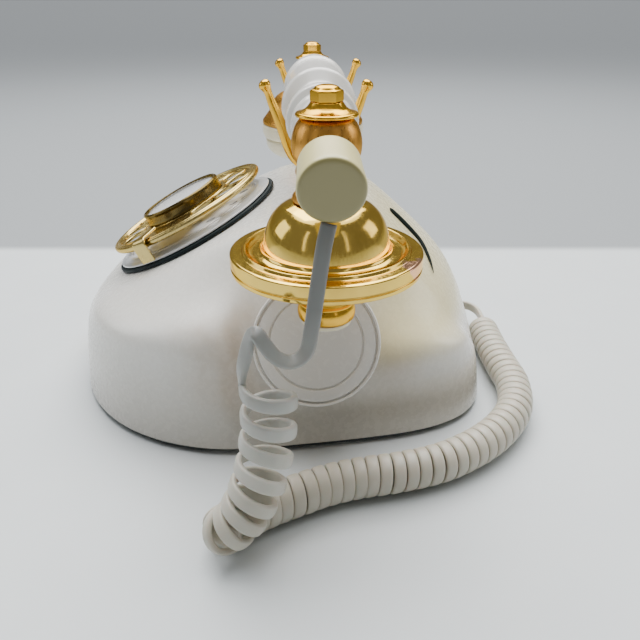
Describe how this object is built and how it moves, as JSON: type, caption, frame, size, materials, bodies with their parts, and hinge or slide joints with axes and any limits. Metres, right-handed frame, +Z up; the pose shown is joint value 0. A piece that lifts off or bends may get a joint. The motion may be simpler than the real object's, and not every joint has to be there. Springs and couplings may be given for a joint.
{
  "type": "rotary cradle telephone",
  "caption": "Compact rotary telephone: rounded white base with a slanted brass dial and a brass-ended handset lying in a forked cradle, on a curly cord.",
  "frame": {"origin": "middle of the phone's footprint, on the surface that its feet stand on", "axes": "+Z up; +X along the handset towards its transmitter and cord; the dial faces -Y"},
  "size_m": [0.2886, 0.2142, 0.142],
  "materials": {
    "white_plastic": "glossy moulded shell, slightly yellowed",
    "cream_plastic": "yellowed satin moulding",
    "polished_brass": "mirror polished, lightly tarnished",
    "tarnished_brass": "polished, with a copper tint",
    "plated_steel": "zinc plated",
    "dark_plate": "satin black paint",
    "black_rubber": "dark moulded rubber",
    "cord_plastic": "soft off-white plastic",
    "white_card": "printed white plate",
    "clear_window": "clear domed cover",
    "board": "brown laminate",
    "copper_winding": "wound copper wire"
  },
  "bodies": {
    "base": {"body_shell": "white_plastic", "rosette_left": "white_plastic", "rosette_right": "white_plastic", "front_badge": "polished_brass", "finger_stop": "polished_brass", "gong_left": "polished_brass", "gong_right": "polished_brass", "base_screw_front": "plated_steel", "base_screw_rear": "plated_steel", "dial_case": "plated_steel", "governor_cup": "plated_steel", "switch_bracket": "plated_steel", "ringer_frame": "plated_steel", "base_plate": "dark_plate", "foot_front_left": "black_rubber", "foot_front_right": "black_rubber", "foot_rear_left": "black_rubber", "foot_rear_right": "black_rubber", "dial_gasket": "black_rubber", "cord_end": "cord_plastic", "cord_coil_hanging": "cord_plastic", "cord_coil_side": "cord_plastic", "cord_coil_rear": "cord_plastic", "cord_strain_relief": "cord_plastic", "number_plate": "white_card", "circuit_board": "board", "line_jack": "board", "contact_stack": "board", "ringer_coil": "copper_winding"},
    "dial_wheel": {"finger_wheel": "polished_brass", "hub_cap": "polished_brass", "number_card": "white_card", "card_window": "clear_window", "dial_shaft": "plated_steel", "main_gear": "polished_brass"},
    "governor": {"governor_spindle": "plated_steel"},
    "cradle": {"cradle_fork_left": "polished_brass", "cradle_fork_right": "polished_brass", "cradle_yoke": "plated_steel"},
    "switch_lever": {"switch_lever": "plated_steel"},
    "clapper": {"clapper": "plated_steel"},
    "handset": {"handset_grip": "white_plastic", "handset_tie_rod": "plated_steel", "transmitter_ball": "tarnished_brass", "transmitter_finial_cap": "polished_brass", "transmitter_acorn_nut": "polished_brass", "receiver_ball": "tarnished_brass", "receiver_finial_cap": "polished_brass", "receiver_acorn_nut": "polished_brass", "transmitter_bell": "polished_brass", "mouthpiece_spigot": "polished_brass", "mouthpiece_lip": "cream_plastic", "transmitter_capsule": "plated_steel", "receiver_bell": "polished_brass", "receiver_ring": "cream_plastic", "ear_cap": "cream_plastic", "receiver_capsule": "plated_steel", "cord_cap": "cream_plastic", "cord_tail": "cord_plastic"}
  },
  "joints": [
    {"name": "dial_turn", "type": "hinge", "parent": "base", "child": "dial_wheel", "pos_m": [0, -0.04, 0.0667], "axis": [0, 0.454, -0.891], "range_deg": [0, 330], "stiffness_Nm_per_rad": 0.004, "springref_deg": -34.38},
    {"name": "governor_spin", "type": "hinge", "parent": "base", "child": "governor", "pos_m": [-0.025, -0.04, 0.0667], "axis": [0, 0.454, -0.891], "range_deg": [-1322, 2]},
    {"name": "handset_lift", "type": "slide", "parent": "base", "child": "handset", "axis": [0, 0, 1], "range_m": [0, 0.06]},
    {"name": "cradle_rise", "type": "slide", "parent": "base", "child": "cradle", "axis": [0, 0, 1], "range_m": [0, 0.005]},
    {"name": "lever_tilt", "type": "hinge", "parent": "base", "child": "switch_lever", "pos_m": [0.015, 0.035, 0.06], "axis": [-1, 0, 0], "range_deg": [0, 16.2]},
    {"name": "clapper_swing", "type": "hinge", "parent": "base", "child": "clapper", "pos_m": [0, 0.071, 0], "axis": [0, 0, 1], "range_deg": [-4, 4], "stiffness_Nm_per_rad": 0.002}
  ],
  "couplings": [
    {"joint": "governor_spin", "follows": "dial_turn", "ratio": -4},
    {"joint": "cradle_rise", "follows": "handset_lift", "ratio": 0.083333},
    {"joint": "lever_tilt", "follows": "handset_lift", "rad_per_m": 4.68}
  ]
}
